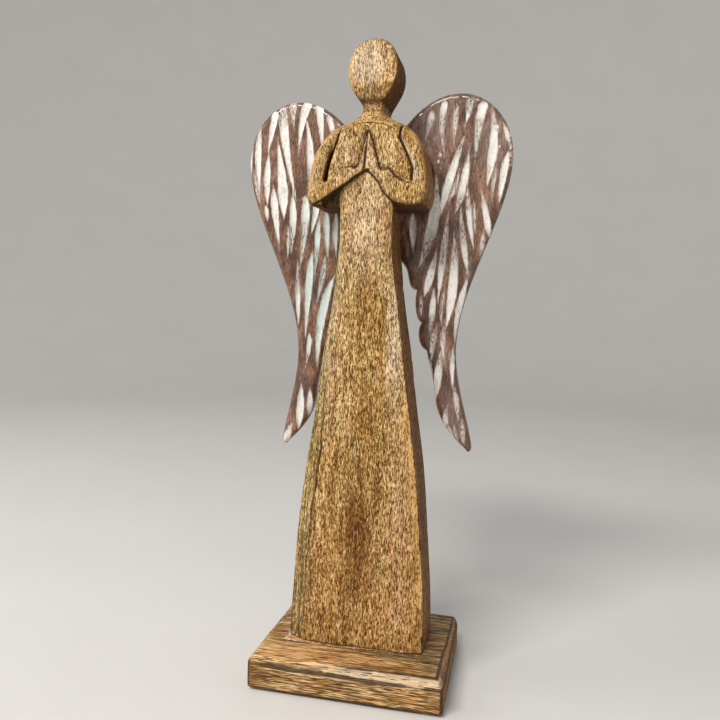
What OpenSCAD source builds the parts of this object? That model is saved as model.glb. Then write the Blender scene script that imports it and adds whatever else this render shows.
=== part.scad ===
// Carved angel figurine on a plinth.
// A one-plank figure in a long gown, hands pressed together, with two carved wings screwed to its back.
// Millimetres. +Z is up, the figure faces -Y, and left is -X.
// The origin is on the surface the pads stand on, below the middle of the plinth.

/* [Plinth] */
// Width of the plinth
plinth_w = 115; // [105:1:125]
// Depth of the plinth, front to back
plinth_d = 91; // [80:1:100]
// Thickness of the plinth board
plinth_t = 18.8; // [16:0.2:22]
// How far the worn top edge slopes in
bevel_in = 3.2; // [1:0.1:5]
// How far down the side the worn top edge starts
bevel_down = 5; // [2:0.1:7]
// Radius of the plinth's upright corners
plinth_corner = 3; // [1:0.5:5]

/* [Pads] */
// Diameter of each bumper pad
pad_d = 10; // [8:0.5:12]
// Height of each bumper pad
pad_h = 2; // [1.5:0.1:3]
// Distance from the plinth's side to a pad's middle
pad_inset = 9; // [7:0.5:14]

/* [Figure] */
// Thickness of the plank the figure is cut from
plank_t = 37; // [34:0.5:40]
// Half width of the gown at its hem
hem_half = 42; // [40:0.5:44]
// Half width of the waist, under the elbows
waist_half = 15.8; // [15:0.1:17]
// Height of the gown from the plinth to the waist
gown_h = 241; // [236:1:246]
// How far the gown's face slopes back between hem and waist
face_slope = 4; // [2:0.5:5]
// Depth of the lines cut in the arms and hands
groove_depth = 2; // [1:0.1:2.5]

/* [Wings] */
// Thickness of each wing board
wing_t = 9; // [8:0.5:11]
// Gap between the wings' inner edges
wing_gap = 5; // [3:0.5:8]
// Turn of the pair of wings about the middle of the back, to the left at the top
wing_lean = 1.1; // [-1.5:0.1:1.5]

/* [Fasteners] */
// Diameter of a wing screw's thread
wing_screw_d = 3.5; // [3:0.1:4]
// Length of a wing screw
wing_screw_l = 20; // [16:1:25]
// Diameter of a plinth screw's thread
base_screw_d = 4.2; // [3.5:0.1:4.5]
// Length of a plinth screw
base_screw_l = 40; // [32:1:48]

/* [Hidden] */
$fn = 64;

plinth_top = pad_h + plinth_t;
back_y = plank_t / 2;
front_y = -plank_t / 2;
waist_z = plinth_top + gown_h;
elbow_z = 281.5;
notch_z = 302;
bust_face = -16.5;
gown_face = front_y + face_slope;
groove_w = 1.6;
// The hem's front left corner is planed off wider than the rest, and all corners are even at the waist
hem_round = 6;
hem_bevel = [12, 8];
waist_round = 3;
lean_z = 225;
pad_x = plinth_w / 2 - pad_inset;
pad_y = plinth_d / 2 - pad_inset;
// A pad's foot and shoulder stand in from its rim by this much
pad_rim = 1;
pad_shoulder = 0.3;
// Heights of the shoulder and of the widest part, in parts of the pad's height
pad_swell = [0.4, 0.8];
// Where the worn top edge of the plinth turns, in parts of its reach and of its drop
worn_turn = [0.35, 0.4];
// Sections from the hem to the waist
gown_rings = 12;
// The forearms' undercut runs out this far to each side
undercut_half = 27;
// A wing section is never narrower than this
least_width = 0.6;

// Screw heads, in parts of the thread's diameter, and the play round a shank that passes through a board
head_ratio = 2;
core_ratio = 0.7;
// The straight rim of a screw's head, and the plain part of its shank, in parts of the shank's length
head_edge = 0.6;
plain_part = 0.25;
// Where a turn of thread leaves the core, reaches its crest and drops again, in parts of the pitch
thread_turn = [0.55, 0.8, 0.9];
// The cross in a screw's head: length and width in parts of the head, depth in parts of its height
cross = [0.6, 0.12, 0.6];
base_screw_turns = 10;
wing_screw_turns = 6;
clearance = 0.4;
pilot_past_tip = 1.5;
counterbore_d = 11;
counterbore_h = 6;
base_screw_x = 20;
wing_screws = [[15, 303], [10, 276]];
overlap = 0.01;

// Flat steps in each quarter turn of a rounded corner
arc_sides = 5;

// A curve's points from a list of cubic Bezier pieces, each [start, pull, pull, end], in n steps apiece
function bezier(p, t) =
    let (u = 1 - t)
    u * u * u * p[0] + 3 * u * u * t * p[1] + 3 * u * t * t * p[2] + t * t * t * p[3];
function curve(pieces, steps) =
    [for (k = [0 : len(pieces) - 1]) each [for (i = [0 : steps[k] - 1]) bezier(pieces[k], i / steps[k])]];
function last_point(pieces) = pieces[len(pieces) - 1][3];

// A closed skin over rings of points that all have the same count
module skin(rings) {
    m = len(rings[0]);
    n = len(rings);
    sides = [for (k = [0 : n - 2], i = [0 : m - 1])
        each [
            [k * m + i, (k + 1) * m + i, k * m + (i + 1) % m],
            [k * m + (i + 1) % m, (k + 1) * m + i, (k + 1) * m + (i + 1) % m],
        ]];
    bottom = [for (i = [0 : m - 1]) i];
    top = [for (i = [m - 1 : -1 : 0]) (n - 1) * m + i];
    polyhedron(points = [for (r = rings) each r], faces = concat([bottom, top], sides), convexity = 6);
}

// A quarter turn of a rounded corner, in the horizontal plane, starting at the angle a
function corner(x, y, rx, ry, a, z) =
    [for (i = [0 : arc_sides]) let (b = a + 90 * i / arc_sides) [x + rx * cos(b), y + ry * sin(b), z]];

// One level of the figure: a rounded rectangle whose front left corner may be cut wider than the others
function level(z, xc, half, yf, yb, r, left_x, left_y) = concat(
    corner(xc - half + left_x, yf + left_y, left_x, left_y, 180, z),
    corner(xc + half - r, yf + r, r, r, 270, z),
    corner(xc + half - r, yb - r, r, r, 0, z),
    corner(xc - half + r, yb - r, r, r, 90, z)
);

function mix(a, b, t) = a + (b - a) * t;

// Half width of the gown, from 0 at the hem to 1 at the waist: it hangs straight, then sweeps in
function gown_half(t) = bezier([hem_half, hem_half - 0.5, 25, waist_half], t);

// Levels of the bust and head: height, middle X, half width, front Y, back Y, corner radius
bust = [
    [281.5, 0, 30, -14, 16, 4],
    [283.5, 0, 33.3, -15.5, 17.5, 5],
    [288, 0, 34.9, -16.5, 18.5, 6],
    [295, 0, 35.3, -16.5, 18.5, 6.5],
    [303, 0, 34.9, -16.5, 18.5, 6.5],
    [310, 0, 33.6, -16.5, 18.5, 6.5],
    [316, 0, 31.6, -16.5, 18.5, 6.5],
    [321, 0.1, 28.9, -16.5, 18.5, 6.5],
    [325, 0.3, 25.2, -16.5, 18.4, 6],
    [328, 0.6, 20.4, -16.2, 18, 5],
    [330.5, 1, 15.2, -15.4, 17.5, 4],
    [333, 1.5, 10.4, -14, 17, 3.5],
    [335.5, 1.8, 7.2, -13, 16.6, 3],
    [338, 2, 5.8, -12.8, 16.4, 2.5],
    [341, 2.1, 6.5, -13.6, 16.2, 2.5],
    [345, 2.2, 9, -14.4, 16, 2.8],
    [350, 2.3, 12.2, -15, 16, 3],
    [355, 2.4, 14, -15, 16, 3],
    [359, 2.4, 14.4, -15, 16, 3],
    [364, 2.4, 13.8, -15, 16, 3],
    [369, 2.4, 11.6, -14.8, 15.8, 3],
    [373, 2.4, 8.2, -14, 15, 3],
    [375.5, 2.4, 4.8, -12.6, 13.6, 2.5],
    [376.6, 2.4, 2, -10.6, 11.6, 1],
];

// Lines cut in the front of the bust, in X and Z: the inner edge of each upper arm, the palms and the cuffs
grooves = [
    [[-15.8, 326.5], [-17.5, 319], [-20.5, 312], [-23, 304], [-24.5, 296.5]],
    [[19.8, 326.5], [19.2, 320], [22, 314], [25, 307.5], [26.8, 302], [26.4, 297]],
    [[0.9, 323], [0.3, 312], [-0.6, 303]],
    [[0.5, 323.5], [-2.5, 313], [-4.8, 306], [-11, 304], [-19, 297], [-22, 294.5]],
    [[1.4, 323.5], [5.2, 315], [8.2, 305], [14.5, 302.5], [18.5, 297], [24, 294.5]],
];

// Lower edge of the two forearms, from the left elbow up to the notch under the hands and down again
forearm_edge = [
    [-25.4, 285.4], [-19, 290], [-11.6, 294.5], [-4.5, 299.5], [1.5, notch_z],
    [7.9, 295.5], [12.5, 287.6], [18.9, 283], [25, 282.4],
];
// The rest of the raised outline: right elbow, sleeve, hands, sleeve and left elbow
forearm_top = [
    [29, 284], [30, 289], [26.5, 297], [14.5, 305], [7.5, 307], [1.2, 324.5],
    [-5, 307], [-12, 306], [-25.5, 297], [-29.5, 290], [-29, 286],
];

// Outer edge of the right wing, from behind the shoulders over the top and down to the tip
wing_outer = [
    [[2.5, 312], [8, 322], [26, 354], [50.5, 353]],
    [[50.5, 353], [68, 353], [83.4, 337], [83.4, 315]],
    [[83.4, 315], [83.4, 282], [52, 238], [51.1, 200]],
    [[51.1, 200], [50.5, 178], [59, 156], [61.5, 139]],
    [[61.5, 139], [62, 136.5], [61, 134.5], [59.3, 134.3]],
];
outer_steps = [7, 7, 9, 6, 2];

// Inner edge of the right wing, from behind the shoulders down past three feather lobes to the tip
wing_inner = [
    [[2.5, 312], [2.5, 295], [2.5, 278], [2.5, 262]],
    [[2.5, 262], [6, 258], [14, 256], [17.7, 250]],
    [[17.7, 250], [22, 246], [19, 235], [25.8, 234.5]],
    [[25.8, 234.5], [24.5, 230], [24.5, 217], [28.8, 214.5]],
    [[28.8, 214.5], [26.5, 211], [26, 200], [32.5, 197]],
    [[32.5, 197], [34, 189], [37, 180], [38, 171]],
    [[38, 171], [38, 154], [50, 143], [57.5, 136]],
    [[57.5, 136], [58, 135.2], [58.6, 134.6], [59.3, 134.3]],
];
inner_steps = [3, 3, 5, 5, 5, 3, 5, 2];

// One section of a wing, across it from edge to edge: a flat strip with half-round ends
function wing_section(a, b) =
    let (
        w = max(norm(b - a), least_width),
        mid = (a + b) / 2,
        dir = norm(b - a) > least_width ? (b - a) / norm(b - a) : [1, 0],
        r = min(wing_t / 2, w / 2),
        reach = w / 2 - r
    )
    [for (s = [1, -1], i = [0 : arc_sides])
        let (
            c = -90 + 180 * i / arc_sides,
            along = s * (reach + r * cos(c)),
            across = s * wing_t / 2 * sin(c)
        )
        [mid[0] + dir[0] * along, back_y + wing_t / 2 + across, mid[1] + dir[1] * along]];

// A ribbon of even width along a line of points
function side_of(p, i) =
    let (d = p[min(i + 1, len(p) - 1)] - p[max(i - 1, 0)])
    [-d[1], d[0]] / norm(d);
function ribbon(p, w) = concat(
    [for (i = [0 : len(p) - 1]) p[i] + side_of(p, i) * w / 2],
    [for (i = [len(p) - 1 : -1 : 0]) p[i] - side_of(p, i) * w / 2]
);

// Lays an X, Z outline upright and gives it a depth from the Y of its front to that of its back
module upright(y0, y1) {
    translate([0, y1, 0])
        rotate([90, 0, 0])
            linear_extrude(y1 - y0)
                children();
}

function head_height(d) = d * (head_ratio - 1) / 2 + head_edge;

// A wood screw with a countersunk head, its head's face at the origin and its point along +Z
module wood_screw(d, l, turns) {
    core = d * core_ratio;
    head = d * head_ratio;
    head_h = head_height(d);
    thread_from = head_h + plain_part * (l - head_h);
    tip = d;
    pitch = (l - tip - thread_from) / turns;
    difference() {
        rotate_extrude()
            polygon(concat(
                [[0, 0], [head / 2, 0], [head / 2, head_edge], [d / 2, head_h], [d / 2, thread_from]],
                [for (k = [0 : turns - 1])
                    each [
                        [core / 2, thread_from + k * pitch + overlap],
                        [core / 2, thread_from + (k + thread_turn[0]) * pitch],
                        [d / 2, thread_from + (k + thread_turn[1]) * pitch],
                        [d / 2, thread_from + (k + thread_turn[2]) * pitch],
                    ]],
                [[core / 2, l - tip], [0, l]]
            ));
        for (a = [0, 90])
            rotate([0, 0, a])
                translate([-head * cross[0] / 2, -head * cross[1] / 2, -overlap])
                    cube([head * cross[0], head * cross[1], head_h * cross[2]]);
    }
}

// The hole a screw needs through a board: a cone for the head, then clearance for the shank
module screw_way(d, through) {
    head = d * head_ratio;
    translate([0, 0, -overlap])
        cylinder(h = head_edge + overlap, d = head + clearance);
    translate([0, 0, head_edge])
        cylinder(h = head_height(d) - head_edge, d1 = head + clearance, d2 = d + clearance);
    cylinder(h = through, d = d + clearance);
}

module at_base_screw(side) {
    translate([side * base_screw_x, 0, pad_h + counterbore_h])
        children();
}

module at_wing_screw(side, k) {
    lean_wings()
        translate([side * wing_screws[k][0], back_y + wing_t, wing_screws[k][1]])
            rotate([90, 0, 0])
                children();
}

module lean_wings() {
    translate([0, 0, lean_z])
        rotate([0, -wing_lean, 0])
            translate([0, 0, -lean_z])
                children();
}

// A plinth side seen end on: square below, sloping in at the worn top edge
function worn_profile(w) = [
    [-w / 2, pad_h],
    [w / 2, pad_h],
    [w / 2, plinth_top - bevel_down],
    [w / 2 - bevel_in * worn_turn[0], plinth_top - bevel_down * worn_turn[1]],
    [w / 2 - bevel_in, plinth_top],
    [-w / 2 + bevel_in, plinth_top],
    [-w / 2 + bevel_in * worn_turn[0], plinth_top - bevel_down * worn_turn[1]],
    [-w / 2, plinth_top - bevel_down],
];

function plinth_plan() =
    let (x = plinth_w / 2 - plinth_corner, y = plinth_d / 2 - plinth_corner, r = plinth_corner)
    [for (c = [[1, 1, 0], [-1, 1, 90], [-1, -1, 180], [1, -1, 270]], i = [0 : arc_sides])
        let (a = c[2] + 90 * i / arc_sides)
        [c[0] * x + r * cos(a), c[1] * y + r * sin(a)]];

module plinth() {
    color("peru")
        difference() {
            intersection() {
                linear_extrude(plinth_top + 1)
                    polygon(plinth_plan());
                upright(-plinth_d, plinth_d)
                    polygon(worn_profile(plinth_w));
                rotate([0, 0, 90])
                    upright(-plinth_w, plinth_w)
                        polygon(worn_profile(plinth_d));
            }
            for (side = [-1, 1]) {
                translate([side * base_screw_x, 0, pad_h - overlap])
                    cylinder(h = counterbore_h + overlap, d = counterbore_d);
                at_base_screw(side)
                    screw_way(base_screw_d, plinth_t);
            }
        }
}

// The gown runs on up inside the bust, as far as the notch under the hands shows it
module gown() {
    skin([
        for (k = [0 : gown_rings])
            let (t = k / gown_rings)
            level(
                mix(plinth_top, waist_z, t), 0, gown_half(t), mix(front_y, gown_face, t), back_y,
                mix(hem_round, waist_round, t),
                mix(hem_bevel[0], waist_round, t),
                mix(hem_bevel[1], waist_round, t)
            ),
        level(notch_z + 2, 0, waist_half, gown_face, back_y, waist_round, waist_round, waist_round),
    ]);
}

// Arms, shoulders, neck and head, cut back to the gown's face under the forearms
module bust() {
    difference() {
        skin([for (b = bust) level(b[0], b[1], b[2], b[3], b[4], b[5], b[5], b[5])]);
        upright(front_y - 1, gown_face)
            polygon(concat([[-undercut_half, elbow_z - 1]], forearm_edge, [[undercut_half, elbow_z - 1]]));
    }
}

module figure() {
    color("burlywood")
        difference() {
            union() {
                gown();
                bust();
                upright(front_y, gown_face + 1)
                    polygon(concat(forearm_edge, forearm_top));
            }
            for (g = grooves)
                upright(front_y - 1, bust_face + groove_depth)
                    polygon(ribbon(g, groove_w));
            for (side = [-1, 1])
                at_base_screw(side)
                    cylinder(h = base_screw_l + pilot_past_tip, d = base_screw_d * core_ratio);
            for (side = [-1, 1], k = [0, 1])
                at_wing_screw(side, k)
                    cylinder(h = wing_screw_l + pilot_past_tip, d = wing_screw_d * core_ratio);
        }
}

// Both wings are one board shape, mirrored, and each inner edge stands half the gap from the middle
module wing(side) {
    outer = concat(curve(wing_outer, outer_steps), [last_point(wing_outer)]);
    inner = concat(curve(wing_inner, inner_steps), [last_point(wing_inner)]);
    shift = wing_gap / 2 - wing_inner[0][0][0];
    color("sienna")
        difference() {
            lean_wings()
                mirror([side < 0 ? 1 : 0, 0, 0])
                    translate([shift, 0, 0])
                        skin([for (i = [0 : len(outer) - 1]) wing_section(inner[i], outer[i])]);
            for (k = [0, 1])
                at_wing_screw(side, k)
                    screw_way(wing_screw_d, wing_t + 1);
        }
}

module pad(sx, sy) {
    color("lightgray")
        translate([sx * pad_x, sy * pad_y, 0])
            rotate_extrude()
                polygon([
                    [0, 0], [pad_d / 2 - pad_rim, 0], [pad_d / 2 - pad_shoulder, pad_h * pad_swell[0]],
                    [pad_d / 2, pad_h * pad_swell[1]], [pad_d / 2, pad_h], [0, pad_h],
                ]);
}

module base_screw(side) {
    color("silver")
        at_base_screw(side)
            wood_screw(base_screw_d, base_screw_l, base_screw_turns);
}

module wing_screw(side, k) {
    color("silver")
        at_wing_screw(side, k)
            wood_screw(wing_screw_d, wing_screw_l, wing_screw_turns);
}

plinth();
figure();
wing(-1);  // wing_left
wing(1);  // wing_right
pad(-1, -1);  // pad_front_left
pad(1, -1);  // pad_front_right
pad(-1, 1);  // pad_back_left
pad(1, 1);  // pad_back_right
base_screw(-1);  // base_screw_left
base_screw(1);  // base_screw_right
wing_screw(-1, 0);  // wing_screw_left_upper
wing_screw(-1, 1);  // wing_screw_left_lower
wing_screw(1, 0);  // wing_screw_right_upper
wing_screw(1, 1);  // wing_screw_right_lower
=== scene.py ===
"""Looks of the carved angel figurine: carved meshes, wood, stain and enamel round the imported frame.

Shapes are worked out in millimetres, in the frame's own axes, and scaled to metres as each mesh is made.
Each carved piece is a distance field (negative inside) that a surface net turns into a dense mesh.
"""

from math import cos, pi, radians, sin, sqrt

import bpy
import numpy as np
from mathutils import Matrix, Vector


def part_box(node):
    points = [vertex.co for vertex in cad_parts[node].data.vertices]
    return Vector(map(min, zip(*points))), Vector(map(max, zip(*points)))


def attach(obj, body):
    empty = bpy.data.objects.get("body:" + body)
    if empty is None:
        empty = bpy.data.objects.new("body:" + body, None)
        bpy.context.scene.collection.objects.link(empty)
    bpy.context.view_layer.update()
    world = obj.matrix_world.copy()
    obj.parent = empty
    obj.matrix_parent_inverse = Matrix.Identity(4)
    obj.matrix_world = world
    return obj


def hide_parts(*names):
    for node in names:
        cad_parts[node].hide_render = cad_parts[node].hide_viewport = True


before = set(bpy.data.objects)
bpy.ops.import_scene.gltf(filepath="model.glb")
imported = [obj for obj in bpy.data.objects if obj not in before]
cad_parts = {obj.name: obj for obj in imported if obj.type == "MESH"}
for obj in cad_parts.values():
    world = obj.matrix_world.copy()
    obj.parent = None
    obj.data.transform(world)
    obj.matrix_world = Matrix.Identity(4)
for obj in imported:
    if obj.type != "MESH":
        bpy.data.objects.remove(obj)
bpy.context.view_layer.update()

MM = 0.001


def node_box(name):
    """A CAD node's corners in millimetres."""
    low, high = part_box(name)
    return np.array(low) / MM, np.array(high) / MM


plinth_low, plinth_high = node_box("plinth")
figure_low, figure_high = node_box("figure")
wing_low, wing_high = node_box("wing_right")

PLINTH_TOP = plinth_high[2]
FRONT_Y = figure_low[1]
BACK_Y = figure_high[1]

# ---------------- curves and fields


def cubic(t, a, b, c, d):
    """The cubic curve from a to d, pulled towards b and c, at t."""
    u = 1 - t
    return u**3 * a + 3 * u * u * t * b + 3 * u * t * t * c + t**3 * d


def outline(start, pieces, steps=10):
    """A closed outline of cubic pieces (pull, pull, end) and straight sides (end)."""
    t = np.arange(steps)[:, None] / steps
    points = []
    for side in pieces:
        corners = np.array([start, *side], float)
        points.append(cubic(t, *corners) if len(side) == 3 else corners[:1])
        start = side[-1]
    return np.concatenate(points)


def level(x, z, value):
    """One value at every point of X and Z."""
    return np.full(np.broadcast(x, z).shape, float(value))


def segment_distance(x, z, a, b):
    ex, ez = b[0] - a[0], b[1] - a[1]
    wx, wz = x - a[0], z - a[1]
    t = np.clip((wx * ex + wz * ez) / max(ex * ex + ez * ez, 1e-9), 0, 1)
    return np.hypot(wx - ex * t, wz - ez * t)


def line_offset(x, z, points):
    """Distance to an open line, and a value above 0 to its right or above it."""
    nearest = level(x, z, np.inf)
    turn = np.zeros(nearest.shape)
    for a, b in zip(points[:-1], points[1:]):
        d = segment_distance(x, z, a, b)
        closer = d < nearest
        turn = np.where(closer, (b[0] - a[0]) * (z - a[1]) - (b[1] - a[1]) * (x - a[0]), turn)
        nearest = np.where(closer, d, nearest)
    return nearest, turn


def line_distance(x, z, points):
    return line_offset(x, z, points)[0]


def shape_distance(x, z, points):
    """Signed distance to a closed outline, negative inside."""
    d = level(x, z, np.inf)
    inside = np.zeros(d.shape, bool)
    for a, b in zip(points, np.roll(points, -1, axis=0)):
        d = np.minimum(d, segment_distance(x, z, a, b))
        if a[1] != b[1]:
            spans = (a[1] > z) != (b[1] > z)
            inside ^= spans & (x < (b[0] - a[0]) * (z - a[1]) / (b[1] - a[1]) + a[0])
    return np.where(inside, -d, d)


def unit(v):
    """v held between 0 and 1."""
    return np.clip(v, 0, 1)


def step(low, high, v):
    """0 below low, 1 above high, and smooth between; low may be the larger."""
    t = unit((v - low) / (high - low))
    return t * t * (3 - 2 * t)


def join(a, b, k):
    """Union of two fields, blended over k millimetres."""
    h = unit(0.5 + 0.5 * (b - a) / k)
    return b * (1 - h) + a * h - k * h * (1 - h)


def common(a, b, k):
    """What two fields share, its edge rounded over k millimetres."""
    return -join(-a, -b, k)


def ripple(seed, size, *axes):
    """A smooth random field of about -1 to 1 with features of the given sizes, one size per axis."""
    rng = np.random.default_rng(seed)
    total = 0
    waves = 9
    for _ in range(waves):
        direction = rng.normal(size=len(axes))
        direction /= np.linalg.norm(direction)
        phase = rng.uniform(0, 2 * pi)
        pitch = rng.uniform(0.7, 1.5)
        total = total + np.sin(
            phase + sum(2 * pi * d * a / (s * pitch) for d, a, s in zip(direction, axes, size))
        )
    return total / sqrt(waves)


def largest(*values):
    """The largest of several values at each point."""
    return np.maximum.reduce(values)


def blob(x, z, cx, cz, rx, rz):
    """A soft round patch, 1 at its middle."""
    return np.exp(-((x - cx) / rx) ** 2 - ((z - cz) / rz) ** 2)


def patches(x, z, spots):
    """The sum of soft patches, each given as its strength, X, Z, spread along X and spread along Z."""
    return sum(strength * blob(x, z, *spot) for strength, *spot in spots)


# ---------------- surface net


def surface_net(values, grid):
    """Vertices and quads of the zero surface of values on a grid of three coordinate lists."""
    cells = np.array(values.shape) - 1
    inside = values < 0
    ids, places, quads = [], [], []
    for axis in range(3):
        u, v = [k for k in range(3) if k != axis]
        first = tuple(slice(None, -1) if k == axis else slice(None) for k in range(3))
        last = tuple(slice(1, None) if k == axis else slice(None) for k in range(3))
        edge = np.argwhere(inside[first] != inside[last])
        low, high = values[first][tuple(edge.T)], values[last][tuple(edge.T)]
        place = np.stack([grid[k][edge[:, k]] for k in range(3)], 1).astype(float)
        t = low / (low - high)
        place[:, axis] += t * (grid[axis][edge[:, axis] + 1] - grid[axis][edge[:, axis]])
        around = []
        for du, dv in ((-1, -1), (0, -1), (0, 0), (-1, 0)):
            cell = edge.copy()
            cell[:, u] += du
            cell[:, v] += dv
            around.append(np.ravel_multi_index(cell.T, cells))
        around = np.stack(around, 1)
        ids.append(around.ravel())
        places.append(np.repeat(place, 4, axis=0))
        turned = (low < 0) != (axis == 1)
        quads.append(np.where(turned[:, None], around, around[:, ::-1]))
    ids, places, quads = np.concatenate(ids), np.concatenate(places), np.concatenate(quads)
    used, index = np.unique(ids, return_inverse=True)
    count = np.bincount(index)
    vertices = np.stack([np.bincount(index, places[:, k]) / count for k in range(3)], 1)
    return vertices, np.searchsorted(used, quads)


def gradient(field, p, reach=0.06):
    """The field's value at each point, and its slope there along each axis."""
    here = field(*p.T)
    slope = np.stack([(field(*(p + reach * np.eye(3)[k]).T) - here) / reach for k in range(3)], 1)
    return here, slope


def carve(field, grid, passes=2):
    """A mesh of the field's surface, its vertices pulled onto the exact surface."""
    x, y, z = np.meshgrid(*grid, indexing="ij", sparse=True)
    vertices, quads = surface_net(field(x, y, z), grid)
    for _ in range(passes):
        here, slope = gradient(field, vertices)
        size = np.maximum((slope**2).sum(1), 0.05)
        vertices = vertices - np.clip(here / size, -0.5, 0.5)[:, None] * slope
    return vertices, quads


def hollowness(field, vertices, reach):
    """How shut in and how open the surface is within reach (0 to 1), and its outward direction."""
    _, slope = gradient(field, vertices)
    normal = slope / np.maximum(np.linalg.norm(slope, axis=1), 1e-6)[:, None]
    out = field(*(vertices + normal * reach).T) / reach
    deep = -field(*(vertices - normal * reach).T) / reach
    return unit(1 - out), unit(1 - deep), normal


def add_object(name, data):
    obj = bpy.data.objects.new(name, data)
    bpy.context.scene.collection.objects.link(obj)
    return obj


def piece(name, vertices, quads, slot, material, replaced, **values):
    """A Blender object from a millimetre mesh, with its per-vertex values, standing for CAD nodes."""
    mesh = bpy.data.meshes.new(name)
    mesh.vertices.add(len(vertices))
    mesh.vertices.foreach_set("co", (vertices * MM).astype(np.float32).ravel())
    mesh.loops.add(quads.size)
    mesh.loops.foreach_set("vertex_index", quads.astype(np.int32).ravel())
    mesh.polygons.add(len(quads))
    mesh.polygons.foreach_set("loop_start", np.arange(0, quads.size, 4, dtype=np.int32))
    mesh.polygons.foreach_set("loop_total", np.full(len(quads), 4, np.int32))
    mesh.polygons.foreach_set("use_smooth", np.ones(len(quads), bool))
    mesh.update()
    mesh.validate()
    for key, value in values.items():
        attribute = mesh.attributes.new(key, "FLOAT", "POINT")
        attribute.data.foreach_set("value", value.astype(np.float32))
    mesh.materials.append(material)
    obj = add_object(name, mesh)
    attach(obj, "root")
    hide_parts(replaced)
    return obj


def span(low, high, pitch):
    """Evenly spaced places from low to high, about pitch apart."""
    return np.linspace(low, high, max(2, int(round((high - low) / pitch)) + 1))


def box_grid(low, high, pitches):
    """Grid lines along each axis of a box, with a millimetre to spare."""
    return [span(a - 1, b + 1, pitch) for a, b, pitch in zip(low, high, pitches)]


# ---------------- figure

HEM_HALF = (figure_high[0] - figure_low[0]) / 2
KNEE_HALF = 25
WAIST_HALF = 15.8
WAIST_Z = PLINTH_TOP + 241
GOWN_TOP = 304
GOWN_FACE = FRONT_Y + 4
HEM_BEVEL = (10.5, 8)
WAIST_BEVEL = 3
ARMS_Z = 283
CHEST_FACE = 1.8
ARM_FACE = 0.5
HAND_RISE = 0.4
NECKLINE_X, NECKLINE_Z, NECKLINE_CURVE = 1, 329, 0.016
HEAD_FACE = FRONT_Y + 3.5
HEAD_BACK = BACK_Y - 2.5
HEAD_X, HEAD_Z = 4, 358
NECK_FACE = FRONT_Y + 5.7
NECK_Z = 336
NECK_GROOVE = 0.6
CHIN_Z = 340

BUST = outline((8.2, 338), [
    ((8.6, 334), (13, 331.4), (19.5, 329.3)),
    ((28, 326), (33, 315), (34.6, 303)),
    ((35.7, 296), (35.8, 290), (34.6, 286)),
    ((33.6, 282.8), (31.5, 281.6), (28, 281.6)),
    ((-28, 281.6),),
    ((-31.5, 281.6), (-33.6, 282.8), (-34.6, 286)),
    ((-35.6, 290), (-35.5, 296), (-34.6, 303)),
    ((-33, 315), (-26.5, 327), (-17.5, 329.8)),
    ((-10, 332), (-4.5, 334), (-3.6, 338)),
    ((8.2, 338),),
])

HEAD = outline((2.4, 376.5), [
    ((11.6, 376.5), (16.8, 369.2), (16.8, 359)),
    ((16.8, 350), (9.4, 344), (8, 338)),
    ((7.8, 336), (8.2, 334), (9.5, 332)),
    ((-4.9, 332),),
    ((-3.6, 334), (-3.2, 336), (-3.4, 338)),
    ((-5, 343.4), (-12.8, 347.5), (-12.8, 359)),
    ((-12.8, 369.4), (-7, 376.5), (2.4, 376.5)),
])

# Raised forearms with the hands, from the left elbow up to the notch under the hands and down again
FOREARMS = np.array([
    (-36, 280), (-25.4, 285.4), (-22, 287.8), (-19, 290), (-15.7, 291.9), (-11.6, 294.5), (-8.1, 297.3),
    (-4.5, 299.5), (-1, 301.6), (1.2, 302.4), (4.9, 298.6), (7.9, 295), (9.7, 291.4), (12.5, 287.8),
    (15.9, 284.9), (18.9, 283.2), (22.6, 282), (36, 280),
    (36, 290), (26.4, 295.6), (22, 296), (18, 297.8), (15.8, 300), (14.3, 302.4), (9.4, 302.2),
    (7.2, 306.2), (4.9, 315.4), (1.2, 324.6), (-2, 312.8), (-3.8, 306.4), (-5.8, 303.4), (-13, 303.6),
    (-19, 299), (-24.8, 295.6), (-36, 290),
], float)
# What lies below the forearms, cut back to the gown's face
UNDER_FOREARMS = np.concatenate([[(-25.4, 270)], FOREARMS[1:17], [(28, 270)]])
# The two pressed hands
HANDS = np.array([(1, 324.2), (-2, 312.8), (-3.8, 305.6), (-1, 301.6), (1.2, 302.2), (8, 304), (4.9, 315.4)])

# The slot between the left upper arm and the chest, and the line inside the right upper arm
LEFT_SLOT = [(-16, 326), (-17.6, 319), (-20.4, 312), (-22.6, 305), (-24, 297.4)]
RIGHT_FOLD = [(19.8, 326.5), (19, 320.5), (21.6, 315), (23.6, 310.8), (25.4, 306.6), (26.8, 303), (26.5, 297)]
# The outer lines of the left and the right hand
LEFT_HAND_LINE = [(0.2, 324.2), (-2.2, 312.8), (-3.9, 306), (-5.8, 303.4)]
RIGHT_HAND_LINE = [(1.5, 324.6), (3.4, 320), (4.9, 315.4), (6.2, 310.5), (7.4, 306), (8.4, 302.8)]
# Tool cuts in the front, drawn downwards or to the right: points, depth, reach to the left or below, reach to
# the right or above
CUTS = [
    (LEFT_SLOT[2:], 7, 1.9, 1.2),
    (LEFT_SLOT, 3, 4, 1.2),
    (LEFT_SLOT, 0.9, 0.5, 4),
    (RIGHT_FOLD, 1.3, 4.5, 0.5),
    ([(0.8, 323.4), (0.1, 312.7), (-0.5, 305.6), (-0.7, 302)], 1.9, 1.3, 1.3),
    (LEFT_HAND_LINE, 1.9, 3.6, 0.8),
    (RIGHT_HAND_LINE, 1.3, 0.8, 3.6),
    ([(8.4, 302.4), (14.3, 302.7), (15.8, 300.2), (17.8, 298), (20.7, 296.5), (25, 294.8)], 1.5, 0.6, 3.4),
    ([(-24, 295.4), (-21.5, 297), (-17.5, 300), (-13, 303.6), (-9, 304.5), (-6.4, 303.5)], 1.1, 0.8, 3.6),
]
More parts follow.
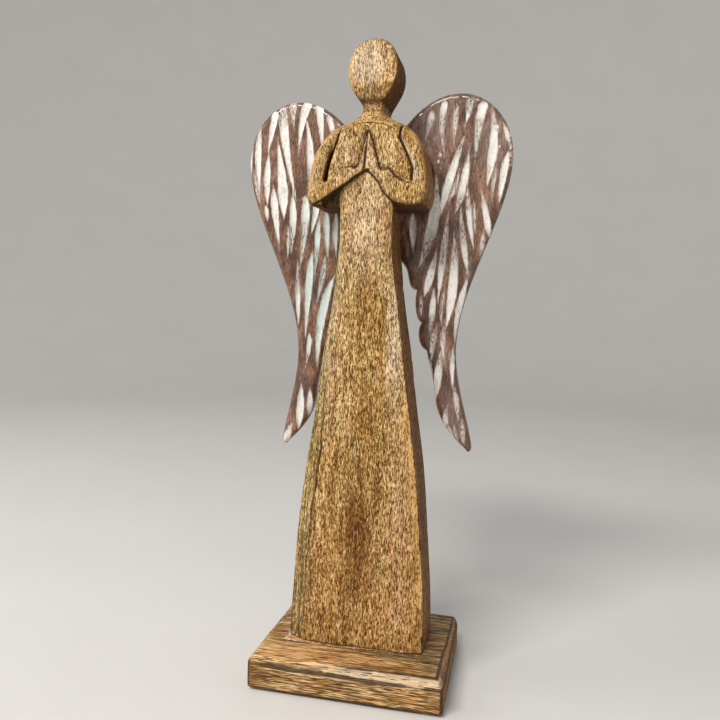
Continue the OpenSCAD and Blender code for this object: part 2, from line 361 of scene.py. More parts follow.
# Small knocks and open pores in the gown's face: X, Z, radius, depth
PITS = [
    (6.4, 190.5, 0.8, 1.2), (7.4, 189, 0.7, 1), (-0.5, 161.5, 0.8, 1.1), (-3, 146, 0.9, 1),
    (-22.2, 113.2, 0.8, 1), (8.8, 195, 0.7, 0.8), (-13.5, 140, 0.7, 0.8), (-16, 134, 0.6, 0.7),
    (23, 131, 0.6, 0.6),
]
# A short scratch, and the drying crack beside the planed corner in two parts: points, half width, depth
SCARS = [
    ([(16.6, 182.5), (20.4, 178.4)], 0.55, 0.6),
    ([(-22.2, 162), (-22.9, 145), (-24, 132), (-26.6, 113), (-28.2, 100)], 0.6, 0.8),
    ([(-28.2, 102), (-29.5, 85), (-30.6, 70)], 0.55, 0.7),
]
# Dark stained lines in the grain, the last three at the top of the head: points, half width and strength
STREAKS = [
    ([(27.7, 127), (25.8, 111), (20.9, 88), (16.3, 70), (13.6, 48), (11.2, 30)], 1.3, 0.28),
    ([(-21.6, 176), (-22.9, 145), (-26.6, 113), (-29.5, 85), (-31, 64)], 1.5, 0.3),
    ([(-31, 66), (-32, 48), (-32.4, 30)], 1.5, 0.24),
    ([(9, 66), (8, 50), (9, 36)], 1.2, 0.22),
    ([(14, 252), (17, 225), (20.6, 200), (24, 172)], 1.2, 0.2),
    ([(-12, 262), (-14.6, 236), (-19, 205)], 1.2, 0.18),
    ([(7.6, 375), (9, 366)], 0.6, 0.3),
    ([(10.6, 373), (12, 363)], 0.6, 0.34),
    ([(13.2, 370), (14.4, 360)], 0.6, 0.34),
]
# Smoked and faded patches on the front: strength, X, Z, spread along X, spread along Z
SMOKE = [
    (2.3, 0, 92, 10, 20), (1.5, -1, 62, 10, 12), (0.7, 4, 208, 8, 24), (0.8, 2, 132, 13, 22),
    (0.4, -27, 56, 7, 22), (0.4, 6, 165, 9, 16), (0.45, 3, 342, 8, 5),
]
FADED = [
    (1.6, -1, 362, 11, 11), (0.6, -20, 200, 7, 60), (0.9, 19, 205, 6, 40), (0.4, -12, 313, 8, 14),
    (0.2, 14, 312, 8, 12), (0.75, 0, 268, 16, 40), (0.35, 25, 110, 9, 70), (0.4, -29, 301, 4, 18),
]


def gown_rise(z):
    """How far up the gown a height is, 0 at the hem and 1 at the waist."""
    return unit((z - PLINTH_TOP) / (WAIST_Z - PLINTH_TOP))


def gown_half(z):
    """Half width of the gown at a height: straight at the hem, then sweeping in to the waist."""
    return cubic(gown_rise(z), HEM_HALF, HEM_HALF - 0.5, KNEE_HALF, WAIST_HALF)


def neck_groove(z):
    """Depth of the tool line across the neck."""
    return NECK_GROOVE * unit(1 - np.abs(z - NECK_Z) / 0.8)


def above_neckline(x, z):
    """Height over the curved line where the chest was cut back from the collar."""
    return z - (NECKLINE_Z - NECKLINE_CURVE * (x - NECKLINE_X) ** 2)


def fold_widening(z):
    """How much wider the facet inside the right upper arm is at a height than at its top."""
    return 0.2 * np.clip(326 - z, 0, 30)


def relief(x, z):
    """How far the bust's carved front lies behind the plank's front face."""
    depth = level(x, z, CHEST_FACE)
    raised = step(0.6, -1.0, shape_distance(x, z, FOREARMS))
    depth = depth + raised * (ARM_FACE - depth)
    depth = depth - HAND_RISE * step(0.3, -0.8, shape_distance(x, z, HANDS))
    for points, deep, low_reach, high_reach in CUTS:
        d, turn = line_offset(x, z, points)
        depth = depth + deep * unit(1 - d / np.where(turn > 0, high_reach, low_reach)) ** 1.2
    d, turn = line_offset(x, z, RIGHT_FOLD)
    reach = np.where(turn > 0, 1.6 + fold_widening(z), 0.8)
    depth = depth + 2.2 * unit(1 - d / reach) * (1 - 0.7 * raised)
    neckline = above_neckline(x, z)
    depth = depth - 0.6 * step(-0.5, 0.2, neckline) * step(24, 12, np.abs(x - NECKLINE_X))
    depth = depth + 0.62 * np.clip(neckline, 0, 6.5) + neck_groove(z)
    cut = step(0.25, -0.25, shape_distance(x, z, UNDER_FOREARMS))
    beside = step(0, 1.5, np.abs(x) - gown_half(z))
    return depth + cut * (GOWN_FACE - FRONT_Y + 2 + 3.5 * beside - depth)


def gown_marks(x, z):
    """Depth of the knocks, the scratch and the crack in the gown's face."""
    depth = level(x, z, 0)
    for px, pz, radius, deep in PITS:
        depth = depth + deep * unit(1 - np.hypot(x - px, (z - pz) * 0.6) / radius)
    for points, half, deep in SCARS:
        wander = 0.4 * ripple(5, (9, 14), x, z)
        depth = depth + deep * unit(1 - line_distance(x + wander, z, points) / half)
    return depth


def gown_field(x, y, z):
    """The gown: dished front, planed left corner that narrows upwards, nicked right corner."""
    t = gown_rise(z)
    half = gown_half(z) + 0.3 * ripple(11, (40, 30, 60), x, y, z)
    face = FRONT_Y + t * (GOWN_FACE - FRONT_Y) + 0.9 * (x / half) ** 2 - 1.2 * step(WAIST_Z, 296, z)
    face = face + (1.5 - 0.9 * t) * unit((x - half + 9) / 9) ** 2
    front = face - y + gown_marks(x, z) + 0.25 * ripple(12, (24, 60), x, z)
    nicks = 0.5 * unit(ripple(14, (7, 7, 8), x, y, z) - 0.7) * step(4, 1, np.abs(x - half))
    right = common(x - half + nicks, front + nicks, 1.3)
    cut_x = WAIST_BEVEL + (HEM_BEVEL[0] - WAIST_BEVEL) * (1 - t**1.6)
    cut_y = WAIST_BEVEL + (HEM_BEVEL[1] - WAIST_BEVEL) * (1 - t)
    bevel = (-cut_y * (x + half - cut_x) - cut_x * (y - face)) / np.hypot(cut_x, cut_y)
    left = common(common(-x - half, front, 1.2), bevel + 0.12 * ripple(15, (9, 9, 22), x, y, z), 0.7)
    sides = common(common(right, left, 0.5), y - BACK_Y, 2)
    return common(common(sides, z - GOWN_TOP, 2), PLINTH_TOP - z, 0.4)


def bust_field(x, y, z):
    """Shoulders, arms and chest, with more rounding over the left shoulder than elsewhere."""
    side = shape_distance(x, z, BUST) + 0.15 * ripple(22, (16, 16, 16), x, y, z)
    front = FRONT_Y + relief(x, z) - y + 0.14 * ripple(21, (8, 13), x, z)
    round_over = 4.5 + 5.5 * step(4, -14, x) * step(285, 298, z)
    return common(common(side, front, round_over), y - BACK_Y, 3)


def head_field(x, y, z):
    """The blank oval head and the neck, with a faintly crowned face."""
    side = shape_distance(x, z, HEAD)
    crown = 0.0035 * ((x - HEAD_X) ** 2 + 0.6 * (z - HEAD_Z) ** 2)
    face = HEAD_FACE + crown + 0.12 * ripple(31, (10, 12), x, z)
    under_chin = NECK_FACE - 0.3 * np.clip(CHIN_Z - z, 0, 4) - HEAD_FACE
    front = face + step(CHIN_Z + 4, CHIN_Z - 1.2, z) * under_chin + neck_groove(z) - y
    return common(common(side, front, 4.2 - 2.6 * step(-4, 10, x)), y - HEAD_BACK, 4)


def figure_field(x, y, z):
    body = join(gown_field(x, y, z), bust_field(x, y, z), 0.5)
    return join(body, head_field(x, y, z), 1.6)


def figure_grid():
    """Grid lines for the figure, closest up the carved bust and where the gown has its knocks."""
    coarse = 1
    heights = [PLINTH_TOP - 1, 104, 200, 276, 338, figure_high[2] + 1]
    pitches = [2.3, 1.5, 2.2, 0.53, 0.68]
    z = [span(low, high, pitch * coarse)[:-1] for low, high, pitch in zip(heights, heights[1:], pitches)]
    z = np.append(np.concatenate(z), heights[-1])
    return [*box_grid(figure_low[:2], figure_high[:2], (0.67 * coarse, 0.8 * coarse)), z]


class Skin:
    """The carved figure's points, and how much each belongs to a part of the carving (0 to 1)."""

    def __init__(self, vertices, normal):
        self.x, self.y, self.z = x, y, z = vertices.T
        self.turned = normal[:, 0]
        self.front = step(-8, -12, y)
        self.gown, self.upper = z < WAIST_Z, z > ARMS_Z
        self.below = shape_distance(x, z, UNDER_FOREARMS)
        self.hands = step(0.2, -0.6, shape_distance(x, z, HANDS))
        fold, turn = line_offset(x, z, RIGHT_FOLD)
        self.facet = (turn > 0) * step(1.4 + fold_widening(z), 0.8, fold) * self.front * step(294, 298, z)
        collar = step(0.9, 0.2, np.abs(above_neckline(x, z))) * step(22, 12, np.abs(x - NECKLINE_X))
        self.collar = collar * self.front
        # Undersides above the waist; they get painted shade
        self.low = step(-0.35, -0.8, normal[:, 2]) * (z > WAIST_Z)


def figure_stain(s):
    """Painted shade in the slot, under the forearms, beside the gown under the elbows, by the gown's right
    corner and as dark lines in the cuts; dirt in the marks and the stained streaks.
    """
    x, z = s.x, s.z
    # Painted shade: a dark line under the forearms, the deep slot and the elbows' undersides beside the gown
    under = step(1.0, 0.1, np.abs(s.below + 0.2)) * s.upper
    slot = step(4.6, 6.4, relief(x, z)) * s.upper * (z < 328) * (s.below > 0.4)
    beside = step(0, 1, np.abs(x) - gown_half(z)) * step(0.4, -0.2, s.below) * (z > 270)
    marks = step(0.05, 0.5, gown_marks(x, z)) * s.gown
    # Painted shade: a dark line beside the gown's right corner
    corner = step(0.5, 0.65, s.turned) * step(0.98, 0.88, s.turned) * s.gown
    corner = corner * unit(0.75 + 0.35 * ripple(8, (7, 11), s.y, z))
    stain = largest(0.85 * slot, 0.7 * under, 0.5 * marks, 0.8 * beside, 0.8 * corner)
    for points, deep, _, _ in CUTS:
        # Painted shade: thin dark lines at the bottom of the cuts
        ink = min(0.85, 0.3 + 0.15 * deep) * step(0.75, 0.2, line_distance(x, z, points))
        stain = np.maximum(stain, ink * s.upper)
    wander = 0.7 * ripple(6, (6, 16), x, z)
    for points, half, strength in STREAKS:
        stain = np.maximum(stain, strength * step(half, 0, line_distance(x + wander, z, points)))
    return stain


def figure_wear(s):
    """Lighter places: painted highlights on the arms' outer edges and the neckline, painted highlight with
    wear along the hem's right, and lighter wood on the head's left edge and by the slot.
    """
    x, z = s.x, s.z
    # Painted highlight along the arms' outer edges
    arms = step(284, 288, z) * step(327, 322, z) * (np.abs(x) > 24)
    arms = arms * step(0.3, 0.6, np.abs(s.turned)) * step(0.96, 0.88, s.turned)
    rim = step(-0.3, -0.6, s.turned) * step(344, 350, z) * step(372, 366, z)
    # Painted highlight with some wear along the gown's right edge
    hem_side = step(12, 0.5, gown_half(z) - x) * step(200, 160, z)
    by_slot = blob(x, z, -21.4, 299, 1.3, 5)
    # The neckline's edge (collar) gets a painted highlight
    return largest(arms, largest(1.2 * rim, 0.6 * hem_side, 0.9 * by_slot) * s.front, 0.8 * s.collar)


def figure_dirt(s, hollow):
    """Where pores and dirt crowd: in the bust's hollows, along the right forearm and under the chin."""
    crowded = hollow * (s.z > WAIST_Z) * (1 - np.maximum(s.collar, 0.6 * np.maximum(s.hands, s.facet)))
    elbow = step(4.5, 0.5, s.below) * (s.below > 0) * s.upper * (s.x > 4)
    return np.maximum(crowded, 0.9 * elbow + 1.1 * blob(s.x, s.z, 2.5, 345, 9, 7) * s.front)


def figure_rose(s):
    """Pink tint: painted light on the facet by the right arm and painted shade on the right arm's side, and
    pinker wood on the hands' sides and the lower gown.
    """
    x, z = s.x, s.z
    palms = np.minimum(line_distance(x, z, LEFT_HAND_LINE), line_distance(x, z, RIGHT_HAND_LINE))
    palms = step(2.4, 1, palms) * step(325, 322, z) * s.hands
    # Painted shade: the right arm's shaded side tinted mauve
    arm_side = step(0.5, 0.8, s.turned) * s.upper * step(326, 318, z)
    low_gown = 0.45 * step(150, 60, z) + 0.5 * blob(x, z, 30, 110, 9, 80) * s.front
    return largest(s.facet * s.front, 0.8 * palms * s.front, 0.7 * arm_side, low_gown)


def make_figure(material):
    vertices, quads = carve(figure_field, figure_grid())
    # The first value darkens recesses as painted shade; the second lightens edges as wear and painted
    # highlight
    closed, exposed, normal = hollowness(figure_field, vertices, 1.3)
    hollow, _, _ = hollowness(figure_field, vertices, 3.5)
    s = Skin(vertices, normal)
    x, z = s.x, s.z
    # The facet is lightened as painted light; the patches and the hands are faded wood
    faded = patches(x, z, FADED) + 0.3 * s.hands + 1.4 * s.facet
    # Painted shade on faces turned to the right, away from the light: full on the head, less on the gown and
    # bust
    right = step(0.55, 0.92, s.turned) * np.where(z > CHIN_Z, 1, np.where(s.upper, 0.45, 0.7))
    # Painted cool light on the gown's planed left corner, as a grey tint
    bevel = step(-0.35, -0.6, s.turned) * step(-0.2, -0.4, normal[:, 1]) * s.gown
    # A painted highlight patch on the face's upper left, as a grey tint
    brow = 0.3 * blob(x, z, -3, 364, 7, 8) * s.front
    beads = step(0.5, 1, ripple(9, (2, 2), x, z) + 1.2 * step(-30, -40, x) - 0.6)
    return piece(
        "figure_carved", vertices, quads, "figure_wood", material, "figure",
        # Painted shade in recesses, on undersides and along the lines above; the streaks and marks are dirt
        closed=largest(closed, 0.45 * s.low, figure_stain(s) * step(-6, -10, s.y)),
        exposed=np.maximum(exposed, figure_wear(s)),
        smoke=(patches(x, z, SMOKE) - faded) * s.front,
        hollow=figure_dirt(s, hollow),
        # Painted shade on the right-facing sides and the undersides
        side=np.maximum(right, 0.8 * s.low),
        # Grey tint as painted light: the left corner, the facet and the face's highlight
        grey=largest(bevel, 0.5 * s.facet, brow),
        rose=figure_rose(s),
        glue=step(2.2, 0.6, z - PLINTH_TOP) * beads * s.front,
    )


# ---------------- wings

WING_GAP = 5
WING_DRAWN_FROM = 2.5
WING_LEAN = radians(1.1)
LEAN_Z = 225
WING_T = wing_high[1] - wing_low[1]
WING_MID_Y = (wing_high[1] + wing_low[1]) / 2
WING_ROUND = 3.4
WING_INSET = 0.25
STROKE_DEPTH = 0.6
OUTSIDE = -3.0

WING = outline((2.5, 312), [
    ((8, 322), (26, 354), (50.5, 353)),
    ((68, 353), (83.4, 337), (83.4, 315)),
    ((83.4, 282), (52, 238), (51.1, 200)),
    ((50.5, 178), (59, 156), (61.5, 139)),
    ((62, 136.5), (61, 134.5), (59.3, 134.3)),
    ((58.6, 134.6), (58, 135.2), (57.5, 136)),
    ((50, 143), (38, 154), (38, 171)),
    ((37, 180), (34, 189), (32.5, 197)),
    ((26, 200), (26.5, 211), (28.8, 214.5)),
    ((24.5, 217), (24.5, 230), (25.8, 234.5)),
    ((19, 235), (22, 246), (17.7, 250)),
    ((14, 256), (6, 258), (2.5, 262)),
    ((2.5, 312),),
], 12)

# Strokes gouged in each wing's face: X and Z of the top, middle and bottom, the width, where along it the
# stroke is widest, and from where to where its paint is unworn (0 is its top, 1 its bottom)
STROKES_RIGHT = [
    (32.5, 344, 31, 335, 28, 324, 4.6, 0.3, 0, 0.3), (40.5, 349, 38.5, 333, 42.4, 309, 4.8, 0.12, 0, 0.25),
    (47, 348, 46.4, 334, 45.4, 318, 4, 0.2, 1, 1), (54.8, 349, 54, 342, 52.3, 333, 5, 0.1, 0.6, 1),
    (63.2, 347, 60.2, 332, 59, 308, 6.6, 0.12, 0, 0.3), (67.2, 346, 69.6, 325, 66, 295, 6.2, 0.62, 0.35, 1),
    (73.4, 337, 77, 329, 79.3, 319, 3, 0.5, 0.3, 0.7), (78.6, 321, 75.8, 302, 73.5, 283, 5, 0.35, 0, 0.75),
    (54.4, 334, 45, 305, 39, 279, 6, 0.6, 0.3, 1), (55.4, 323, 53, 301, 48, 281, 6, 0.6, 0.25, 0.65),
    (36, 308, 35, 276, 26, 247, 8, 0.55, 0.3, 0.58), (22.4, 284, 22.8, 270, 24, 255.5, 4.8, 0.35, 0, 0.75),
    (44.6, 286, 42, 258, 39.4, 226, 5, 0.55, 0.65, 1), (47.6, 275, 48.6, 243, 44.6, 210, 6.6, 0.6, 0.38, 1),
    (54, 304, 56.6, 283, 60.2, 259, 4.4, 0.6, 0.5, 1), (51, 291, 53.6, 267, 57.8, 243, 4.4, 0.6, 0.6, 1),
    (62.6, 299, 66.8, 281, 70, 265, 4.8, 0.6, 0.3, 1), (65.4, 272, 65.2, 264, 63.8, 254, 3.6, 0.5, 1, 1),
    (44.2, 214, 43.4, 203, 45.2, 190, 4, 0.3, 0.5, 1), (38.6, 263, 34.8, 246, 30.6, 230, 5.6, 0.62, 0.45, 1),
    (36.8, 239, 36.4, 224, 35, 207, 4.6, 0.5, 0.3, 0.6), (39.8, 215, 37.2, 202, 37, 188, 4.4, 0.45, 1, 1),
    (42.8, 201, 41.2, 184, 39.4, 165, 6, 0.62, 0.4, 1), (58, 246, 52.4, 222, 50.6, 198, 4.6, 0.4, 0.1, 0.85),
    (50, 203, 49.8, 188, 51, 170, 3.4, 0.4, 0.4, 0.8), (51, 178, 53.2, 166, 55, 153, 4, 0.4, 1, 1),
    (49, 167, 46.6, 158, 48.4, 148, 4, 0.7, 0.5, 1), (46.8, 155, 51.2, 145.5, 57.6, 138, 3.6, 0.3, 0, 0.7),
    (56.6, 159, 57.6, 148, 58.8, 138, 3.4, 0.5, 1, 1), (51.6, 155, 53.4, 146, 55, 140, 3, 0.5, 1, 1),
    (36, 198, 36.6, 183, 38.8, 170, 3.8, 0.5, 1, 1), (29.4, 234, 29.4, 226, 29.8, 217, 3, 0.5, 1, 1),
    (17, 308, 14.5, 292, 15.5, 275, 4, 0.5, 0.2, 0.7), (9, 300, 9.5, 284, 8, 268, 3.6, 0.5, 0.3, 0.9),
    (59.4, 291, 59.6, 280, 61, 268, 3.4, 0.5, 1, 1), (50.6, 312, 47.6, 298, 43.4, 288, 3.6, 0.6, 1, 1),
    (44, 238, 42, 224, 42.6, 212, 3, 0.4, 1, 1), (72, 312, 70.4, 300, 70, 288, 3, 0.4, 1, 1),
]
STROKES_LEFT = [
    (-83.2, 331, -83.8, 318, -82.6, 302, 3, 0.4, 0, 1), (-77, 344, -78.6, 316, -77, 288.5, 5, 0.45, 0.3, 1),
    (-67, 346, -69.8, 333, -72.2, 318, 5.4, 0.1, 0, 1), (-62, 350, -60, 324, -50.8, 283.5, 7, 0.16, 0.3, 1),
    (-66, 331, -62.2, 302, -60.6, 278, 7.6, 0.62, 0, 1), (-71, 322, -72.3, 304, -71.5, 284, 5, 0.5, 0, 1),
    (-72.3, 288, -72.4, 283, -71.3, 275.5, 3.4, 0.4, 0, 0.7),
    (-68, 301, -66.6, 283, -63, 259, 5.8, 0.4, 0.2, 0.9),
    (-55.2, 296, -54.6, 276, -55.8, 253, 5.4, 0.4, 0, 0.5),
    (-45.4, 352, -49.4, 339, -52, 318, 6.6, 0.1, 0, 1), (-39, 353, -37.6, 338, -35.2, 317, 6.4, 0.1, 0, 1),
    (-47.4, 343, -43.6, 316, -43.6, 283, 6, 0.6, 0, 0.55),
    (-55.4, 352, -55.6, 344, -54.6, 333.5, 5.4, 0.1, 1, 1),
    (-47, 294, -46.6, 274, -50.6, 240, 6.2, 0.3, 0, 0.42),
    (-51, 256, -50.6, 234, -49.6, 208, 3.8, 0.6, 0.55, 1), (-38.6, 292, -40.2, 280, -42.6, 268, 5, 0.2, 0, 1),
    (-37.2, 280, -38.4, 261, -39.8, 235, 4.4, 0.35, 0, 0.5),
    (-32.6, 290, -32.2, 270, -30.4, 250, 4.8, 0.4, 0, 0.7),
    (-26.2, 286, -26.6, 270, -25.3, 252, 4.4, 0.4, 0, 0.8),
    (-41.2, 260, -43.4, 235, -45.2, 198, 5.6, 0.4, 0.1, 0.9),
    (-32.6, 258, -34.4, 243, -38.8, 222, 4.2, 0.5, 1, 1),
    (-25.6, 245, -34.6, 216, -36.4, 177, 6.6, 0.4, 0, 0.8),
    (-42.2, 207, -42.6, 196, -44.6, 182, 4, 0.3, 0, 0.6), (-47.2, 177, -47.4, 159, -49, 142, 6, 0.6, 0.2, 1),
    (-41.4, 173, -41.2, 161, -41.8, 149, 4.4, 0.5, 0.2, 1),
    (-52.4, 149, -55.6, 140.5, -57.4, 132.5, 5.6, 0.6, 0.1, 1),
    (-33, 343.5, -30.6, 336, -28, 327, 4.6, 0.4, 0, 0.6), (-17, 308, -15, 292, -16, 274, 4, 0.5, 0.2, 0.7),
    (-9, 302, -9.5, 286, -8, 269, 3.6, 0.5, 0.3, 0.9), (-30, 320, -27, 300, -29, 286, 4.2, 0.5, 0, 0.7),
    (-80.6, 314, -79.8, 300, -77.6, 288, 2.6, 0.5, 1, 1), (-58, 276, -57.6, 264, -58, 250, 3, 0.4, 1, 1),
]
# Drips of varnish on the right and left wings: X, Z, radius, height
DRIPS = [
    (38, 316.5, 1.7, 0.7), (37, 312.5, 1.3, 0.6), (35.6, 319, 1, 0.4), (38.6, 308.6, 1, 0.4),
    (40.6, 303.6, 0.8, 0.3), (38.4, 283, 1.5, 0.7), (40, 278, 0.9, 0.3), (71.4, 332, 1.8, 0.7),
    (72.6, 329.6, 1.1, 0.4), (73.2, 320.6, 1.2, 0.4), (65.4, 325, 1.2, 0.4), (34, 326, 1.2, 0.4),
    (-50.4, 322.6, 1.1, 0.4), (-51.2, 317.4, 0.9, 0.3), (-47.6, 291, 2, 0.5), (-44.6, 293.4, 1.2, 0.4),
    (-79.6, 320, 2, 0.3), (-64.4, 333, 1, 0.3),
]
# Where the finish has chipped off the right wing's edge
CHIPS = [(77.2, 336), (79.4, 328), (80.2, 320), (79.8, 311)]
# Patches of painted cool light on the left wing's white and of painted sheen on the right wing's brown
CHILL = [(0.9, -36, 240, 18, 70)]
MIST = [(0.6, 71, 322, 10, 18), (0.5, 35, 332, 9, 14), (0.4, 52, 150, 6, 22)]


def wing_place(x, z, side):
    """X and Z in the wing board's own axes, before the pair was leaned, moved apart and mirrored."""
    c, s = cos(WING_LEAN), sin(WING_LEAN)
    own_x = x * c + (z - LEAN_Z) * s
    own_z = (z - LEAN_Z) * c - x * s + LEAN_Z
    return own_x * side - (WING_GAP / 2 - WING_DRAWN_FROM), own_z


def wing_field(side):
    """The field of the wing on one side (1 right, -1 left), a flat board with rounded edges."""

    def field(x, y, z):
        own_x, own_z = wing_place(x, z, side)
        across = shape_distance(own_x, own_z, WING) + WING_INSET + WING_ROUND
        mid = WING_MID_Y + 0.15 * ripple(41 + side, (50, 60), x, z)
        through = np.abs(y - mid) - (WING_T / 2 - 0.4) + WING_ROUND
        outside = np.hypot(np.maximum(across, 0), np.maximum(through, 0))
        return outside + np.minimum(np.maximum(across, through), 0) - WING_ROUND

    return field


def stroke_field(x, z, strokes):
    """How far inside the nearest stroke each point is in millimetres, and how unworn its paint is there."""
    inside, runner_up = np.full(x.shape, OUTSIDE), np.full(x.shape, OUTSIDE)
    whole = np.zeros(x.shape)
    for *places, width, widest, whole_from, whole_to in strokes:
        top, middle, bottom = np.reshape(places, (3, 2))
        pull = 2 * middle - (top + bottom) / 2
        near = np.abs(z - (top[1] + bottom[1]) / 2) < abs(top[1] - bottom[1]) / 2 + 4
        near &= np.abs(x - middle[0]) < 16
        px, pz = x[near], z[near]
        best, kept = np.full(px.shape, OUTSIDE), np.zeros(px.shape)
        for t in np.linspace(0.01, 0.99, max(14, int(abs(top[1] - bottom[1]) / 0.45))):
            at = (1 - t) ** 2 * top + 2 * t * (1 - t) * pull + t * t * bottom
            taper = t / widest if t < widest else (1 - t) / (1 - widest)
            half = 0.46 * width * sin(pi / 2 * min(taper, 1)) ** 1.1
            here = half - np.hypot(px - at[0], pz - at[1])
            paint = step(whole_to + 0.1, whole_to - 0.06, t)
            if whole_from > 0:
                paint = paint * step(whole_from - 0.1, whole_from + 0.06, t)
            kept = np.where(here > best, paint, kept)
            best = np.maximum(best, here)
        first, second = inside[near], runner_up[near]
        whole[near] = np.where(best > first, kept, whole[near])
        runner_up[near] = np.maximum(second, np.minimum(first, best))
        inside[near] = np.maximum(first, best)
    return np.minimum(inside, 0.7 * (inside - runner_up) - 0.15), whole


def make_wing(name, side, strokes, material):
    """One carved wing, its strokes scooped out of the face and its varnish drips raised."""
    fine = 0.52
    low, high = node_box(name)
    field = wing_field(side)
    vertices, quads = carve(field, box_grid(low, high, (fine, 0.75, fine)))
    _, exposed, _ = hollowness(field, vertices, 1.6)
    x, y, z = vertices.T
    stroke, whole = stroke_field(x, z, strokes)
    face = step(WING_MID_Y - 0.5, WING_MID_Y - 2.5, y)
    scoop = STROKE_DEPTH * step(-0.2, 1.8, stroke) * face
    tool = 0.14 * ripple(50 + side, (5, 16), x, z) * face
    drip = np.zeros(x.shape)
    for at_x, at_z, radius, height in DRIPS:
        inside = unit(1 - ((x - at_x) ** 2 + (z - at_z) ** 2) / radius**2)
        drip = np.maximum(drip, height * inside**0.8)
    vertices[:, 1] += scoop + tool * step(0.8, 0.2, exposed) - drip * face * step(0.1, 0.7, drip + 0.1)
    return piece(
        name + "_carved", vertices, quads, "wing_enamel", material, name,
        stroke=stroke * face + OUTSIDE * (1 - face),
        whole=whole,
        exposed=exposed * step(low[2], low[2] + 20, z),
        drip=drip * face,
        chip=step(1.8, 0.4, line_distance(x, z, CHIPS)) * face,
        chill=patches(x, z, CHILL),
        mist=patches(x, z, MIST),
    )


# ---------------- plinth

BEVEL_IN = 3.2
BEVEL_DOWN = 5
COUNTERBORE_R = 5.5
COUNTERBORE_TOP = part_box("base_screw_left")[0][2] / MM
COUNTERSINK_R = 4.6
PILOT_DEPTH = 8
SCREW_X = [sum(node_box(n)[k][0] for k in (0, 1)) / 2 for n in ("base_screw_left", "base_screw_right")]
SHANK_R = 2.3


def plinth_out(x, y):
    """How far outside the plinth's upright sides a point is."""
    return np.maximum(np.abs(x) - plinth_high[0], np.abs(y) - plinth_high[1])


def bevel_distance(x, y, z):
    """Signed distance to the slope of the worn top edge, on whichever side is nearest."""
    front = step(0, -10, y)
    wide = 1 + (0.35 * step(-20, 40, x) - 0.25 * step(0, -40, x)) * front
    inward = BEVEL_IN * wide + 0.25 * ripple(61, (45, 45), x, y)
    down = BEVEL_DOWN * (0.8 + 0.2 * wide) + 0.25 * ripple(62, (35, 50), x, y)
    return (down * (plinth_out(x, y) + inward) + inward * (z - PLINTH_TOP)) / np.hypot(down, inward)


def plinth_field(x, y, z):
    """The base block: worn top edge, rounded corners and the two counterbores from below."""
    wobble = 0.12 * ripple(63, (40, 40, 14), x, y, z)
    side_x = np.abs(x) - plinth_high[0] + 0.3 + wobble
    side_y = np.abs(y) - plinth_high[1] + 0.3 + wobble
    chip = 0.3 * unit(ripple(64, (9, 9, 6), x, y, z) - 1)
    around = common(side_x, side_y, 2.2 + 3.5 * step(10, 30, x) * step(10, 30, y))
    top = z - PLINTH_TOP + 0.1 + 0.1 * ripple(65, (60, 14), x, y)
    arris = 1.1 + 1.6 * step(0, -40, x)
    body = common(common(around, bevel_distance(x, y, z) + chip, 0.8), top, arris)
    body = common(body, plinth_low[2] - z, 0.9)
    for screw_x in SCREW_X:
        r = np.hypot(x - screw_x, y)
        above = z - COUNTERBORE_TOP
        recess = np.maximum(r - COUNTERBORE_R, above)
        seat = np.maximum(r - np.clip(COUNTERSINK_R - above, SHANK_R, COUNTERSINK_R), above - PILOT_DEPTH)
        body = common(body, -np.minimum(recess, seat), 0.3)
    return body


def make_plinth(material):
    pitch = 0.64
    vertices, quads = carve(plinth_field, box_grid(plinth_low, plinth_high, (pitch, pitch, pitch)))
    x, y, z = vertices.T
    bevel = bevel_distance(x, y, z)
    out = plinth_out(x, y)
    front, right = step(-30, -40, y), step(40, 52, x)
    top = z > PLINTH_TOP - 1.2

    slope = step(1.0, 0.3, np.abs(bevel)) * (0.25 + 0.75 * step(-40, 30, x) * front)
    slope = slope * (1 - 0.9 * right * (1 - front))
    upper = step(1.3, 0.1, np.hypot(bevel, PLINTH_TOP - z)) * unit(step(-20, 10, x) * front + right)
    lower = step(1.0, 0.15, np.hypot(bevel, out + 0.3)) * unit(front + right + step(-50, -56, x))
    lower = lower * np.clip(0.85 + 0.3 * ripple(67, (26, 26), x, y), 0.4, 1)
    upright = np.hypot(np.abs(x) - plinth_high[0] + 0.8, np.abs(y) - plinth_high[1] + 0.8)
    corner = step(1.8, 0.3, upright) * step(1, 0, bevel + 0.6)
    # Painted contact shadow along the foot of the sides
    foot = step(1.6, 0.2, z - plinth_low[2]) * (out > -1.2)
    # Dark lines along the top edge, the bevel's foot and the corners, and the painted foot shadow
    stain = unit(0.85 * upper + lower + 0.8 * corner + 0.9 * foot)

    # Painted cast shadow of the gown and the wings on the top, near the gown and towards the right
    near_gown = step(13, 0, np.maximum(np.abs(x) - HEM_HALF, np.abs(y) - BACK_Y)) * top
    grey = near_gown * step(-34, 4, x + 0.5 * y) + 0.7 * step(28, 50, x) * top
    gold = 1.6 * top * blob(x, y, -38, -36, 36, 16) + 0.8 * slope * step(0, -30, x)
    ends = 1.6 * step(-40, -57, x) * front * (bevel < 0) * (out > -1)
    beside = np.abs(np.maximum(np.abs(x) - HEM_HALF, FRONT_Y - y))
    beads = step(0.5, 1.1, ripple(66, (2.2, 2.2), x, y) + 0.9 * step(-20, -40, x) - 0.45)
    return piece(
        "plinth_worn", vertices, quads, "plinth_wood", material, "plinth",
        closed=stain,
        exposed=slope * (1 - 0.8 * stain),
        glue=top * step(1.3, 0.5, beside) * beads * (y < 5),
        # Darker with the painted cast shadow and at the dark left end; lighter on the golden patch
        smoke=0.4 * grey + ends - 0.6 * gold,
        grey=unit(grey),
        hollow=np.zeros(len(x)),
        rose=unit(0.2 + 0.6 * gold),
        # Painted shade on the right end face
        side=0.8 * step(54, 57, x) * (out > -4),
    )


# ---------------- materials

SMOKED = (0.7, 0.6, 0.44)
GREENISH = (0.84, 0.97, 0.76)
ROSY = (1.04, 0.86, 0.88)
GLUE = (0.8, 0.77, 0.7)


